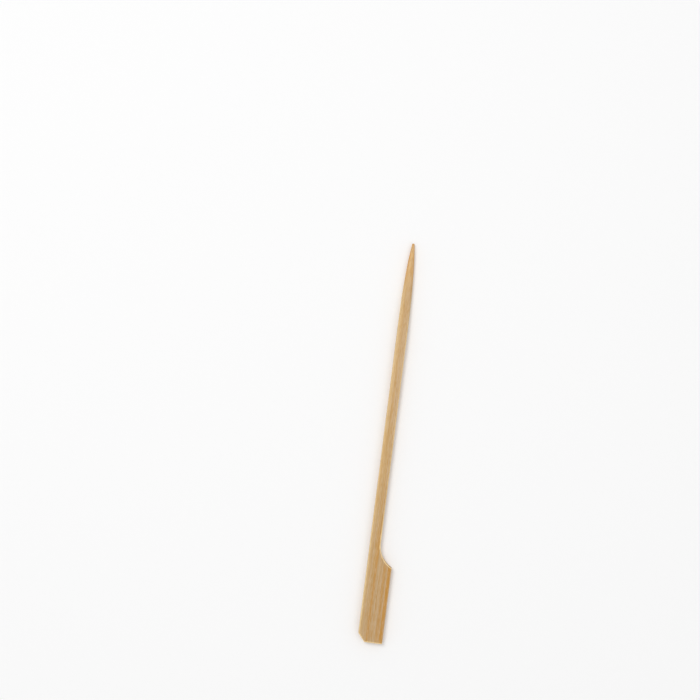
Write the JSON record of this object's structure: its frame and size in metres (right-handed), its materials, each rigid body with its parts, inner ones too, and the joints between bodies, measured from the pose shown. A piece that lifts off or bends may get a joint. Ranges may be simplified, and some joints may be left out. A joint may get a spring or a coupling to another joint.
{
  "type": "bamboo paddle skewer",
  "caption": "Flat bamboo skewer: a one-shouldered paddle grip with a chamfered corner, a slim straight stem and a sharpened point.",
  "frame": {"origin": "under the middle of the bounding box, on the broad face that it lies on", "axes": "+Y along the length towards the point, +Z through the thickness out of the broad face, +X towards the side with the shoulder"},
  "size_m": [0.0094, 0.15, 0.003],
  "materials": {
    "bamboo": "natural, unfinished, fine straight fibres along the length"
  },
  "bodies": {
    "root": {"skewer": "bamboo"}
  },
  "joints": []
}
